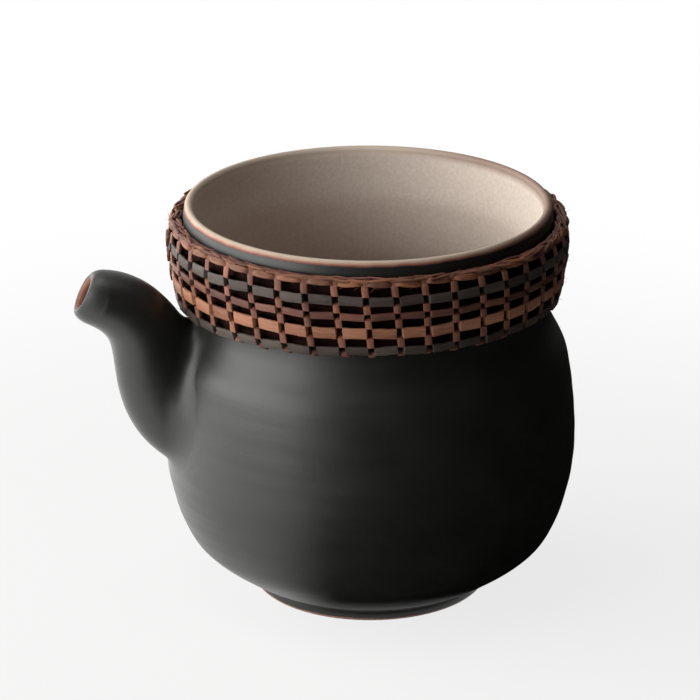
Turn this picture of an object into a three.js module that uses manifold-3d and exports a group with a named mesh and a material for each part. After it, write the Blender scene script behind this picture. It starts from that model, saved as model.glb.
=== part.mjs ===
// Japanese tea pitcher: a thrown stoneware pot with a luted spout and a woven heat guard round its neck.
// Millimetres, +Z up. The spout points along -X, the pot stands on z = 0 and is built round the Z axis,
// and the whole is moved along X at the end.
import * as THREE from "three";
import Module from "manifold-3d";

const wasm = await Module();
wasm.setup();
const { Manifold, Mesh: ManifoldMesh } = wasm;

// Driving sizes of the pot
const bellyRadius = 50;
const bellyHeight = 41;
const footRadius = 28.5;
const footRingWidth = 3.2;
const footHeight = 3.2;
const footRecess = 2.0;
const footEdge = 0.6;
const footStep = 0.5;
const neckRadius = 42.2;
const neckDrop = 15.6;
const rimFlare = 2.1;
const rimHeight = 97.6;
const lipDrop = 2.1;
const lipLean = 0.5;
const wall = 2.6;
const floorThickness = 4.2;
const floorSweep = 3.5;
const floorSweepRise = 0.9;

// How the wall swells between those sizes: shares of the belly's radius, and steps up, down or outward
const turn = { share: 0.7, up: 3.2 };
const lowerBelly = { share: 0.88, up: 11 };
const upperBelly = { share: 0.975, down: 14 };
const shoulder = { out: 1.8, down: 2 };
const neckStart = { out: 1.2, down: 12 };
const flare = { out: -0.1, up: 1.5 };

// Driving sizes of the spout, in the plane through the pot's axis. Its middle line is one curve, drawn by
// the place, the tilt and the pull of its two ends: the root inside the belly's wall, and the mouth, which
// stands out beyond the guard.
const spoutRootDepth = 12.6;
const spoutRootDrop = 56.6;
const spoutRootTilt = 21.3;
const spoutRootPull = 28.8;
const spoutRootRadius = 10.2;
const mouthProjection = 21.9;
const mouthDrop = 17.4;
const mouthLineTilt = 15.7;
const mouthFaceTilt = 31;
const mouthPull = 26.9;
const mouthRadius = 6.5;
const spoutTaper = 2.45;
const spoutWall = 2.1;
const spoutFlatness = 0.82;
const luteFlare = 3.6;
const luteReach = 10;
const pourHoleRadius = 6.5;
const pourHoleRise = 5;
const pourHoleTilt = 30;

// Driving sizes of the woven guard, which stands off the rim's own radius
const stakeCount = 42;
const stakeWidth = 1.7;
const stakeThickness = 0.45;
const hoopThickness = 0.55;
const hoopWidths = { hoop_top: 2.4, hoop_upper: 2.5, hoop_middle: 2.1, hoop_lower: 2.7, hoop_bottom: 2.5 };
const hoopSpacing = [3.55, 4.1, 4.0, 4.3];
const rimShow = 3.7;
const guardStandoff = 2.45;
const guardBulge = 0.85;
const guardTaper = 1.6;
const capTilt = 42;
const capDrop = 1.2;
const crownDrop = 0.25;
const crossingRecess = 0.7;
const edgeRecess = 0.4;
const bendRoom = 0.65;
const liningThickness = 0.5;
const liningWidth = 2.5;
const liningDrop = 1.5;
const hemReach = 1;
const hemCurve = { out: 0.75, up: 0.45 };

const clearance = 0.3;
const play = 0.1;
const potSegments = 36;
const spoutSegments = 18;

// Places that follow from the sizes
const rimRadius = neckRadius + rimFlare;
const neckHeight = rimHeight - neckDrop;
const flareTop = rimHeight - lipDrop;
const guardTop = rimHeight - rimShow;
const guardTopRadius = rimRadius + guardStandoff;
const guardFullRadius = guardTopRadius + guardBulge;
const spoutRoot = { out: bellyRadius - spoutRootDepth, up: rimHeight - spoutRootDrop };
const mouth = { out: guardFullRadius + mouthProjection, up: rimHeight - mouthDrop };
const pourHoleHeight = spoutRoot.up + pourHoleRise;

const rad = THREE.MathUtils.degToRad;
const v2 = (x, y) => new THREE.Vector2(x, y);

const pot = new THREE.Group();

const finish = {
  glaze: new THREE.MeshStandardMaterial({ color: 0x23211f, roughness: 0.62, metalness: 0 }),
  darkSplint: new THREE.MeshStandardMaterial({ color: 0x554a44, roughness: 0.85, metalness: 0 }),
  redSplint: new THREE.MeshStandardMaterial({ color: 0x7f5447, roughness: 0.82, metalness: 0 }),
  tanSplint: new THREE.MeshStandardMaterial({ color: 0xa87a60, roughness: 0.8, metalness: 0 }),
  stakeSplint: new THREE.MeshStandardMaterial({ color: 0xae7f6d, roughness: 0.8, metalness: 0 }),
};

function addPart(name, geometry, material) {
  const mesh = new THREE.Mesh(geometry, material);
  mesh.name = name;
  pot.add(mesh);
}

// Grids of rings: each ring is an array of Vector3, all rings are equally long.
// A closed grid joins its last ring to its first, an open one gets flat end faces. Faces look outward.
function ringBody(rings, closed) {
  const size = rings[0].length;
  const positions = rings.flat().flatMap((p) => [p.x, p.y, p.z]);
  const faces = [];
  const last = closed ? rings.length : rings.length - 1;
  for (let i = 0; i < last; i++) {
    const here = i * size;
    const next = ((i + 1) % rings.length) * size;
    for (let k = 0; k < size; k++) {
      const n = (k + 1) % size;
      faces.push(here + k, next + k, next + n, here + k, next + n, here + n);
    }
  }
  if (!closed) {
    const end = (rings.length - 1) * size;
    for (let k = 1; k < size - 1; k++) {
      faces.push(0, k, k + 1);
      faces.push(end, end + k + 1, end + k);
    }
  }
  const corner = (i) => new THREE.Vector3().fromArray(positions, 3 * faces[i]);
  let volume = 0;
  for (let i = 0; i < faces.length; i += 3) volume += corner(i).cross(corner(i + 1)).dot(corner(i + 2));
  if (volume < 0) faces.reverse();
  const geometry = new THREE.BufferGeometry();
  geometry.setAttribute("position", new THREE.Float32BufferAttribute(positions, 3));
  geometry.setIndex(faces);
  return geometry;
}

// The same shape as a manifold, its corners merged where they share a place
function toManifold(geometry) {
  const source = geometry.attributes.position;
  const corners = [];
  const seen = new Map();
  const remap = [];
  for (let i = 0; i < source.count; i++) {
    const key = [source.getX(i), source.getY(i), source.getZ(i)].map((c) => Math.round(c * 1e4)).join(" ");
    if (!seen.has(key)) {
      seen.set(key, corners.length / 3);
      corners.push(source.getX(i), source.getY(i), source.getZ(i));
    }
    remap.push(seen.get(key));
  }
  const index = geometry.index ? Array.from(geometry.index.array) : remap.map((_, i) => i);
  const faces = [];
  for (let i = 0; i < index.length; i += 3) {
    const [a, b, c] = [remap[index[i]], remap[index[i + 1]], remap[index[i + 2]]];
    if (a !== b && b !== c && c !== a) faces.push(a, b, c);
  }
  return new Manifold(
    new ManifoldMesh({
      numProp: 3,
      vertProperties: new Float32Array(corners),
      triVerts: new Uint32Array(faces),
    }),
  );
}

function toGeometry(manifold) {
  const mesh = manifold.getMesh();
  const geometry = new THREE.BufferGeometry();
  geometry.setAttribute("position", new THREE.Float32BufferAttribute(Array.from(mesh.vertProperties), 3));
  geometry.setIndex(Array.from(mesh.triVerts));
  return geometry;
}

// A lathe turns about Y, so its axis is stood up along Z
function revolve(profile, segments = potSegments) {
  const geometry = new THREE.LatheGeometry(profile, segments);
  geometry.rotateX(Math.PI / 2);
  return geometry;
}

// Pot
// The outer wall from the foot to just under the lip: a low full belly, a drawn-in neck, a slight flare
const outerWall = new THREE.SplineCurve([
  v2(footRadius + footStep, footHeight),
  v2(bellyRadius * turn.share, footHeight + turn.up),
  v2(bellyRadius * lowerBelly.share, footHeight + lowerBelly.up),
  v2(bellyRadius * upperBelly.share, bellyHeight - upperBelly.down),
  v2(bellyRadius, bellyHeight),
  v2((bellyRadius + neckRadius) / 2 + shoulder.out, (bellyHeight + neckHeight) / 2 - shoulder.down),
  v2(neckRadius + neckStart.out, neckHeight - neckStart.down),
  v2(neckRadius, neckHeight),
  v2((neckRadius + rimRadius) / 2 + flare.out, (neckHeight + flareTop) / 2 + flare.up),
  v2(rimRadius, flareTop),
]);

function wallRadiusAt(height) {
  let low = 0;
  let high = 1;
  for (let i = 0; i < 40; i++) {
    const middle = (low + high) / 2;
    if (outerWall.getPoint(middle).y < height) low = middle;
    else high = middle;
  }
  return outerWall.getPoint(low).x;
}

// A copy of the wall moved sideways along its own normal, outward for a positive distance
function offsetWall(distance, count, from = 0) {
  const line = [];
  for (let i = 0; i <= count; i++) {
    const t = from + ((1 - from) * i) / count;
    const p = outerWall.getPoint(t);
    const along = outerWall.getTangent(t);
    line.push(v2(p.x + along.y * distance, p.y - along.x * distance));
  }
  return line;
}

function potProfile() {
  const outside = offsetWall(0, 18);
  const inside = offsetWall(-wall, 8, 0.1);
  const floor = footRecess + floorThickness;
  const outer = outside[outside.length - 1];
  const inner = inside[inside.length - 1];
  const lipCentre = v2((outer.x + inner.x) / 2 - lipLean, rimHeight - wall / 2);
  const lip = [];
  for (let i = 0; i <= 4; i++) {
    const a = (Math.PI * i) / 4;
    lip.push(v2(lipCentre.x + (Math.cos(a) * wall) / 2, lipCentre.y + (Math.sin(a) * wall) / 2));
  }
  return [
    v2(0, footRecess),
    v2(footRadius - footRingWidth - footEdge, footRecess),
    v2(footRadius - footRingWidth, 0),
    v2(footRadius - footEdge, 0),
    v2(footRadius, footEdge),
    v2(footRadius + footStep / 2, footHeight - footEdge),
    ...outside,
    ...lip,
    ...inside.reverse().filter((p) => p.y > floor + 2 * floorSweepRise),
    v2(footRadius + floorSweep, floor + floorSweepRise),
    v2(footRadius - floorSweep, floor),
    v2(0, floor),
  ];
}

// The body as if it were solid, grown by the clearance: what the spout is trimmed to
function grownBody() {
  const skin = offsetWall(clearance, 18);
  return toManifold(revolve([v2(0, skin[0].y), ...skin, v2(0, skin[skin.length - 1].y)]));
}

// The round hole that lets the tea into the spout, bored outward and up through the wall
function pourHole() {
  const bore = new THREE.CylinderGeometry(pourHoleRadius, pourHoleRadius, 6 * wall, spoutSegments);
  bore.rotateZ(Math.PI / 2 - rad(pourHoleTilt));
  bore.rotateX(Math.PI / 2);
  bore.translate(-wallRadiusAt(pourHoleHeight), 0, pourHoleHeight);
  return toManifold(bore);
}

const vessel = toManifold(revolve(potProfile())).subtract(pourHole());
addPart("vessel", toGeometry(vessel), finish.glaze);

// Spout
// A thrown tube bent in an S: it leaves the belly low, rises beside the wall and nods outward at the mouth
const outward = (tilt) => new THREE.Vector3(-Math.cos(rad(tilt)), 0, Math.sin(rad(tilt)));
const rootPoint = new THREE.Vector3(-spoutRoot.out, 0, spoutRoot.up);
const mouthPoint = new THREE.Vector3(-mouth.out, 0, mouth.up);
const spoutLine = new THREE.CubicBezierCurve3(
  rootPoint,
  rootPoint.clone().addScaledVector(outward(spoutRootTilt), spoutRootPull),
  mouthPoint.clone().addScaledVector(outward(mouthLineTilt), -mouthPull),
  mouthPoint,
);
const spoutRadiusAt = (t) => THREE.MathUtils.lerp(spoutRootRadius, mouthRadius, t ** spoutTaper);

// Direction of the tube, turned at the very end to the mouth's own tilt
function spoutDirection(t) {
  const along = spoutLine.getTangentAt(t);
  return along.lerp(outward(mouthFaceTilt), THREE.MathUtils.smoothstep(t, 0.85, 1)).normalize();
}

// How far the luting clay, smoothed out round the root, swells the tube where it nears the pot's wall. There
// is most of it in the crotch above the root and none below.
function luteAt(point, angle) {
  const gap = Math.hypot(point.x, point.y) - wallRadiusAt(point.z);
  const near = 1 - THREE.MathUtils.clamp(gap / luteReach, 0, 1);
  return (luteFlare * near ** 2 * (1 + Math.sin(angle))) / 2;
}

// A ring of the tube at the share t of its length, inside or outside its skin, and beyond it at the mouth
function spoutRing(t, inset, beyond = 0) {
  const centre = spoutLine.getPointAt(t);
  const along = spoutDirection(t);
  const across = new THREE.Vector3(0, 1, 0);
  const up = new THREE.Vector3().crossVectors(across, along);
  const radius = spoutRadiusAt(t) - inset;
  const flat = THREE.MathUtils.lerp(spoutFlatness, 1, THREE.MathUtils.smoothstep(t, 0.35, 0.9));
  const ring = [];
  for (let k = 0; k < spoutSegments; k++) {
    const a = (2 * Math.PI * k) / spoutSegments;
    const spoke = across.clone().multiplyScalar(Math.cos(a) * flat).addScaledVector(up, Math.sin(a));
    const point = centre.clone().addScaledVector(along, beyond).addScaledVector(spoke, radius);
    if (inset === 0) point.addScaledVector(spoke, luteAt(point, a));
    ring.push(point);
  }
  return ring;
}

function spoutTube() {
  const rings = [];
  const count = 14;
  const brim = 0.35 * spoutWall;
  for (let i = 0; i <= count; i++) rings.push(spoutRing(i / count, 0));
  rings.push(spoutRing(1, spoutWall / 4, brim));
  rings.push(spoutRing(1, (3 * spoutWall) / 4, brim));
  for (let i = count; i >= 0; i--) rings.push(spoutRing(i / count, spoutWall));
  return toManifold(ringBody(rings, true));
}

addPart("spout", toGeometry(spoutTube().subtract(grownBody())), finish.glaze);

// Woven guard
// The weave's middle surface in the half plane (radius, height), from the inner top edge over the
// shoulder of the guard and down to its bottom edge. Hoops cross it at the places below.
const crossings = [v2(guardTopRadius, guardTop - capDrop)];
const guardDepth = hoopSpacing.reduce((sum, step) => sum + step, 0);
for (const step of hoopSpacing) {
  const height = crossings[crossings.length - 1].y - step;
  const down = (guardTop - capDrop - height) / guardDepth;
  crossings.push(v2(guardFullRadius - guardTaper * down ** 2, height));
}
const liningTop = guardTop - liningDrop;
const liningBottom = crossings[crossings.length - 1].y - hoopWidths.hoop_bottom / 2 - play;
const edge = clearance + stakeThickness / 2;
const topStart = v2(wallRadiusAt(liningTop + edge) + clearance + play, liningTop + edge);
const hem = v2(wallRadiusAt(liningBottom) + clearance + hemReach, liningBottom - edge - play);
const middleSurface = new THREE.SplineCurve([
  topStart,
  v2((topStart.x + crossings[0].x) / 2 + play, guardTop - crownDrop),
  ...crossings,
  v2(hem.x + hemCurve.out, hem.y + hemCurve.up),
  hem,
]);
const surfaceSteps = crossings.length + 3;

// A place on the middle surface, with its outward normal and the direction down the guard
function frameAt(t) {
  const along = middleSurface.getTangent(t);
  return { centre: middleSurface.getPoint(t), along, out: v2(-along.y, along.x) };
}

// The frame where a hoop crosses the stakes. The top hoop leans inward as a cap over the stakes' bends.
function crossingFrame(row) {
  const frame = frameAt((row + 2) / surfaceSteps);
  if (row === 0) {
    frame.along.set(Math.sin(rad(capTilt)), -Math.cos(rad(capTilt)));
    frame.out.set(-frame.along.y, frame.along.x);
  }
  return frame;
}

// Free lengths of the splints lie in the middle surface. At a crossing both are pulled inward, the one
// that goes over by the recess and the one that goes under far enough to pass beneath it. The top hoop
// has no recess, because it rides on the stakes where they bend.
function crossingLift(isOver, row) {
  const recess = [0, crossingRecess, crossingRecess, crossingRecess, edgeRecess][row];
  return isOver ? -recess : -recess - (stakeThickness + hoopThickness) / 2 - clearance;
}
const stakeIsOver = (index, row) => (index + row) % 2 === 0;
const stakeAngle = (index) => Math.PI + (2 * Math.PI * (index + 0.5)) / stakeCount;

// Point of the half plane (radius, height) at an angle round the pot
const place = (p, angle) => new THREE.Vector3(Math.cos(angle) * p.x, Math.sin(angle) * p.x, p.y);

// Four corners of a flat splint's section, spread sideways by the function given
function splintSection(centre, out, thickness, spread) {
  const outer = centre.clone().addScaledVector(out, thickness / 2);
  const inner = centre.clone().addScaledVector(out, -thickness / 2);
  return [spread(outer, -1), spread(outer, 1), spread(inner, 1), spread(inner, -1)];
}

// Each stake is a flat splint that goes over one hoop and under the next, and shows in the gaps between them
function stake(index) {
  const angle = stakeAngle(index);
  const side = new THREE.Vector3(-Math.sin(angle), Math.cos(angle), 0);
  const stops = [frameAt(0), frameAt(0.55 / surfaceSteps)];
  Object.values(hoopWidths).forEach((width, row) => {
    const { centre, along, out } = crossingFrame(row);
    const isOver = stakeIsOver(index, row);
    const lifted = centre.addScaledVector(out, crossingLift(isOver, row));
    const isEdge = row === 0 || row === crossings.length - 1;
    for (const way of isOver && !isEdge ? [0] : [-1, 1]) {
      stops.push({ centre: lifted.clone().addScaledVector(along, way * (width / 2 + play)), out });
    }
    if (row < crossings.length - 1) stops.push(frameAt((row + 2.5) / surfaceSteps));
  });
  stops.push(frameAt(1));
  const rings = stops.map(({ centre, out }) =>
    splintSection(centre, out, stakeThickness, (p, way) =>
      place(p, angle).addScaledVector(side, (way * stakeWidth) / 2),
    ),
  );
  return ringBody(rings, false);
}

// Each hoop dips at every stake, over one and under the next, and lies flat between them
function hoop(row, width) {
  const { centre, along, out } = crossingFrame(row);
  const pitch = (2 * Math.PI) / stakeCount;
  const under = (stakeWidth / 2 + 2 * play) / centre.x;
  const bend = (stakeWidth / 2 + bendRoom) / centre.x;
  const rings = [];
  for (let index = 0; index < stakeCount; index++) {
    const isOver = !stakeIsOver(index, row);
    const lift = crossingLift(isOver, row);
    const stops = isOver ? [[0, lift]] : [[-under, lift], [under, lift]];
    stops.push([bend, 0], [pitch - bend, 0]);
    for (const [step, amount] of stops) {
      const angle = stakeAngle(index) + step;
      rings.push(
        splintSection(centre.clone().addScaledVector(out, amount), out, hoopThickness, (p, way) =>
          place(p.clone().addScaledVector(along, (way * width) / 2), angle),
        ),
      );
    }
  }
  return ringBody(rings, true);
}

// The plain hoops inside the guard that grip the neck
function lining(top) {
  const grip = Math.max(wallRadiusAt(top), wallRadiusAt(top - liningWidth)) + clearance;
  const profile = [
    v2(grip, top - liningWidth),
    v2(grip + liningThickness, top - liningWidth),
    v2(grip + liningThickness, top),
    v2(grip, top),
    v2(grip, top - liningWidth),
  ];
  return revolve(profile, stakeCount);
}

const hoopFinish = {
  hoop_top: finish.tanSplint,
  hoop_upper: finish.darkSplint,
  hoop_middle: finish.redSplint,
  hoop_lower: finish.tanSplint,
  hoop_bottom: finish.darkSplint,
};
Object.entries(hoopWidths).forEach(([name, width], row) => {
  addPart(name, hoop(row, width), hoopFinish[name]);
});
addPart("lining_top", toGeometry(toManifold(lining(liningTop))), finish.redSplint);
addPart("lining_bottom", toGeometry(toManifold(lining(liningBottom + liningWidth))), finish.redSplint);
for (let index = 0; index < stakeCount; index++) {
  addPart(`stake_${String(index + 1).padStart(2, "0")}`, stake(index), finish.stakeSplint);
}

// The origin lies on the table under the middle of the pitcher's overall length
const overall = new THREE.Box3().setFromObject(pot);
pot.position.x = -(overall.min.x + overall.max.x) / 2;

export default pot;
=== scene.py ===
import math

import bmesh
import bpy
import numpy as np
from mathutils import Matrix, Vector
from mathutils.kdtree import KDTree


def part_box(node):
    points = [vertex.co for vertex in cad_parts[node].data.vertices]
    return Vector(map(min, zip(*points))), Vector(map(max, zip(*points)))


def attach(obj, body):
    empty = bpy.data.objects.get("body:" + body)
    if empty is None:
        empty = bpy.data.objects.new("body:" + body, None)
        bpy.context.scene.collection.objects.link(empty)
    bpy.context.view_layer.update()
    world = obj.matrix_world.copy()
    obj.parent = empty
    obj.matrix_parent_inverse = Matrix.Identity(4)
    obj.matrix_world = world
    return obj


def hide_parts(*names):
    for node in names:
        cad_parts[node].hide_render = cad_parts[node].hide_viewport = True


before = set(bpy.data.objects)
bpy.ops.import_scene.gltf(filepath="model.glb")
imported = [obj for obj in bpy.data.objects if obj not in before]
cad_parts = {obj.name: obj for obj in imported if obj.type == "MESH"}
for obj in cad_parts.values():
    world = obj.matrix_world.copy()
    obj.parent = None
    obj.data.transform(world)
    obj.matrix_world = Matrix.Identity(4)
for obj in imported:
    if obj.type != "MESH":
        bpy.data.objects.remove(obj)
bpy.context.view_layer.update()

# The pot: an open, round-bellied jar of iron-rich stoneware, thrown on the wheel and turned at the foot.
# One glaze covers it, satin black outside and pale beige inside. It breaks to cream on the lip, and a thin
# line of warm bare clay shows under the lip's outer edge and on the foot ring.
# Lengths are in millimetres, and the points of a profile are radius and height.
MM = 0.001
(_, pot_near, _), (pot_right, pot_far, pot_top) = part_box("vessel")
BELLY_RADIUS = (pot_far - pot_near) / 2 / MM
AXIS = Vector((pot_right - BELLY_RADIUS * MM, 0, 0))
RIM_HEIGHT = pot_top / MM
WALL = 2.6
LIP_RADIUS, LIP_PLACE, LIP_TILT, LIP_GAP = 1.02, 43.12, 0.1, 0.3
WALL_STATIONS = [(29, 3.2), (35, 6.4), (44, 14.2), (48.75, 27), (BELLY_RADIUS, 41), (47.9, 59.5),
                 (43.4, 70), (42.2, 82), (43.0, RIM_HEIGHT - 8.4), (44.2, RIM_HEIGHT - 5.2),
                 (44.5, RIM_HEIGHT - 3.3), (44.15, RIM_HEIGHT - 1.3)]
FOOT_PROFILE = [(0, 2), (12, 2), (24.2, 2), (24.6, 1.9), (24.75, 1.6), (25.15, 0.25), (25.35, 0.05),
                (25.6, 0), (27.6, 0), (27.95, 0.1), (28.35, 0.45), (28.5, 0.75), (28.72, 2.4), (28.8, 2.8)]
FLOOR_START = 9
FLOOR_STATIONS = [(32, 7.1), (25, 6.25), (12, 6.2), (0, 6.2)]
THROAT_START, THROAT_END, THROAT_FLARE = RIM_HEIGHT - 14, RIM_HEIGHT - 5, 0.2
NECK_START, NECK_END = 74, 90
NECK_LEAN = np.array((-0.966, 0.259)) * 0.55
RINGS_START, RINGS_END, RINGS_FADE = 8, 90, 6
POT_SEGMENTS = 200
POUR_HOLE_RADIUS, POUR_HOLE_HEIGHT, POUR_HOLE_TILT = 6.5, 46, math.radians(30)
BORE_REACH = 3 * WALL


def curve_through(stops, count):
    """Points of a smooth curve through the stops."""
    stops = np.array(stops, float)
    padded = np.vstack([stops[:1], stops, stops[-1:]])
    spots = np.linspace(0, len(stops) - 1, count)
    index = np.minimum(spots.astype(int), len(stops) - 2)
    t = (spots - index)[:, None]
    before, here, there, after = (padded[index + k] for k in range(4))
    leave, arrive = (there - before) / 2, (after - here) / 2
    return ((2 * here - 2 * there + leave + arrive) * t ** 3
            + (3 * there - 3 * here - 2 * leave - arrive) * t ** 2 + leave * t + here)


def sideways(line, distance):
    """The line moved along its own normal, outward where it runs upward and the distance is positive."""
    along = np.gradient(line, axis=0)
    along /= np.linalg.norm(along, axis=1)[:, None]
    return line + np.reshape(distance, (-1, 1)) * np.stack([along[:, 1], -along[:, 0]], 1)


def smooth_step(value, low, high):
    """Nothing up to the low value and one from the high one, with a smooth way between them."""
    share = np.clip((np.asarray(value, float) - low) / (high - low), 0, 1)
    return share * share * (3 - 2 * share)


def shown(name, mesh):
    """Puts a mesh into the scene as an object."""
    body = bpy.data.objects.new(name, mesh)
    bpy.context.scene.collection.objects.link(body)
    return body


def skin(name, rings, joined=False, axis=AXIS):
    """A mesh over rings of points in millimetres from the axis, the last joined to the first if asked."""
    rings = np.asarray(rings, float)
    count, size = rings.shape[:2]
    faces = []
    for i in range(count if joined else count - 1):
        here, there = i * size, (i + 1) % count * size
        faces += [(here + k, here + (k + 1) % size, there + (k + 1) % size, there + k) for k in range(size)]
    mesh = bpy.data.meshes.new(name)
    mesh.from_pydata((rings.reshape(-1, 3) * MM + np.array(axis)).tolist(), [], faces)
    return mesh


def finished(mesh, crease=50):
    """Merges doubled points, turns the faces outward and shades them smooth up to the crease angle."""
    work = bmesh.new()
    work.from_mesh(mesh)
    bmesh.ops.remove_doubles(work, verts=work.verts, dist=1e-8)
    bmesh.ops.dissolve_degenerate(work, edges=work.edges, dist=1e-8)
    bmesh.ops.recalc_face_normals(work, faces=work.faces)
    work.to_mesh(mesh)
    work.free()
    mesh.shade_smooth()
    mesh.set_sharp_from_angle(angle=math.radians(crease))
    return mesh


def baked(body):
    """The object's mesh with its modifiers applied. The object itself is removed."""
    made = bpy.data.meshes.new_from_object(body.evaluated_get(bpy.context.evaluated_depsgraph_get()))
    made.name = body.name
    bpy.data.objects.remove(body)
    return made


def turned(profile):
    """The rings of a thrown form, from its profile."""
    angles = np.linspace(0, 2 * math.pi, POT_SEGMENTS, endpoint=False)
    radii, heights = np.asarray(profile, float).T
    return np.stack([np.outer(radii, np.cos(angles)), np.outer(radii, np.sin(angles)),
                     np.outer(heights, np.ones(POT_SEGMENTS))], 2)


def throwing_rings(heights, depth, pitch, wander, sway):
    """The low rings that throwing leaves in a wall. Their pitch isn't quite even."""
    return depth * np.sin(heights * 2 * math.pi / pitch + sway * np.sin(heights / wander))


def outward(tilt):
    """The direction away from the pot on the spout's side, tilted upward."""
    return np.array((-math.cos(tilt), 0, math.sin(tilt)))


wall_line = curve_through(WALL_STATIONS, 600)
outside = curve_through(WALL_STATIONS, 176)
heights = outside[:, 1]
fade = np.clip(np.minimum(heights - RINGS_START, RINGS_END - heights) / RINGS_FADE, 0, 1)
outer_rings = throwing_rings(heights, depth=0.03, pitch=6.6, wander=7, sway=1.3) * fade
inner_wall = sideways(outside, -WALL)[::-1]
lip_turn = np.linspace(LIP_TILT, math.pi + LIP_TILT, 26)
lip = (LIP_PLACE, RIM_HEIGHT - LIP_RADIUS) + LIP_RADIUS * np.stack([np.cos(lip_turn), np.sin(lip_turn)], 1)
inside = inner_wall[(inner_wall[:, 1] > FLOOR_START) & (inner_wall[:, 1] < lip[-1, 1] - LIP_GAP)]
# The throat runs straight up to the lip, without the collar's swell.
throat = lip[-1, 0] - THROAT_FLARE * (lip[-1, 1] - inside[:, 1])
inside[:, 0] += (throat - inside[:, 0]) * smooth_step(inside[:, 1], THROAT_START, THROAT_END)
inner_rings = throwing_rings(inside[:, 1], depth=0.02, pitch=7.1, wander=11, sway=2)
floor_sweep = curve_through([inside[-2], inside[-1], *FLOOR_STATIONS], 30)[8:]
pot_profile = np.vstack([FOOT_PROFILE, sideways(outside, outer_rings), lip, sideways(inside, inner_rings),
                         floor_sweep])
pot_profile[-1] = (0, FLOOR_STATIONS[-1][1])


def leaned(height):
    """How far the neck leans to the side of the spout: no thrown pot is quite true."""
    return smooth_step(height, NECK_START, NECK_END)[..., None] * NECK_LEAN


pot_rings = turned(pot_profile)
pot_rings[..., :2] += leaned(pot_rings[..., 2])
uncut = shown("uncut_pot", finished(skin("uncut_pot", pot_rings)))
hole_radius = np.interp(POUR_HOLE_HEIGHT, wall_line[:, 1], wall_line[:, 0])
bore_turn = np.linspace(0, 2 * math.pi, 48, endpoint=False)
bore_up = np.array((math.sin(POUR_HOLE_TILT), 0, math.cos(POUR_HOLE_TILT)))
bore_sides = np.outer(np.cos(bore_turn), (0, 1, 0)) + np.outer(np.sin(bore_turn), bore_up)
bore_rings = [(-hole_radius, 0, POUR_HOLE_HEIGHT) + outward(POUR_HOLE_TILT) * reach + size * bore_sides
              for reach, size in ((-BORE_REACH, 0), (-BORE_REACH, POUR_HOLE_RADIUS),
                                  (BORE_REACH, POUR_HOLE_RADIUS), (BORE_REACH, 0))]
bore = shown("pour_hole_bore", finished(skin("pour_hole_bore", bore_rings)))
cut = uncut.modifiers.new("pour_hole", "BOOLEAN")
cut.operation, cut.object, cut.solver = "DIFFERENCE", bore, "EXACT"
pot = shown("pot", finished(baked(uncut)))
bpy.data.objects.remove(bore)

# How far each point lies from the lip's crown, along the profile: below zero outside and above it inside.
steps = np.r_[0, np.cumsum(np.linalg.norm(np.diff(pot_profile, axis=0), axis=1))]
crown = np.argmax(pot_profile[:, 1])
profile_tree = KDTree(len(pot_profile))
for i, (radius, height) in enumerate(pot_profile):
    profile_tree.insert((radius, height, 0), i)
profile_tree.balance()
places = np.empty(len(pot.data.vertices) * 3)
pot.data.vertices.foreach_get("co", places)
places = (places.reshape(-1, 3) - np.array(AXIS)) / MM
places[:, :2] -= leaned(places[:, 2])
from_lip = [steps[profile_tree.find((math.hypot(x, y), z, 0))[1]] - steps[crown] for x, y, z in places]
pot.data.attributes.new("from_lip", "FLOAT", "POINT").data.foreach_set("value", from_lip)


def linear(code):
    """An sRGB hex colour as the linear red, green, blue and alpha that a shader takes."""
    channels = [int(code[i:i + 2], 16) / 255 for i in (1, 3, 5)]
    return tuple(c / 12.92 if c <= 0.04045 else ((c + 0.055) / 1.055) ** 2.4 for c in channels) + (1.0,)


def node(tree, kind, feeds=None, stops=(), **settings):
    """Adds a node, sets its options and colour stops, and feeds its inputs with sockets or plain values."""
    new = tree.nodes.new(kind)
    for option, value in settings.items():
        setattr(new, option, value)
    if stops:
        while len(new.color_ramp.elements) < len(stops):
            new.color_ramp.elements.new(0.5)
        for element, (spot, code) in zip(new.color_ramp.elements, stops):
            element.position, element.color = spot, linear(code)
    for place, value in (feeds or {}).items():
        if isinstance(value, bpy.types.NodeSocket):
            tree.links.new(value, new.inputs[place])
        else:
            new.inputs[place].default_value = value
    return new


def material(name):
    """A new material with no nodes yet, and its tree."""
    made = bpy.data.materials.new(name)
    made.use_nodes = True
    made.node_tree.nodes.clear()
    return made, made.node_tree


# Iron glaze over stoneware: near-black and satin, so its shape shows by broad soft reflections. Fine mottling
# in colour and gloss keeps it from looking like paint. Inside it is pale, finely speckled and dry.
glaze, tree = material("iron_black_stoneware_glaze")
place = node(tree, "ShaderNodeTexCoord").outputs["Object"]
distance = node(tree, "ShaderNodeAttribute", attribute_name="from_lip").outputs["Fac"]
# Glaze grain is about 0.4 mm, drawn at 0.8 mm so that it shows; clouding is about 12 mm wide.
grain = node(tree, "ShaderNodeTexNoise", {"Vector": place, "Scale": 1250.0, "Detail": 3.0}).outputs["Fac"]
cloud = node(tree, "ShaderNodeTexNoise", {"Vector": place, "Scale": 85.0, "Detail": 4.0}).outputs["Fac"]
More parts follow.
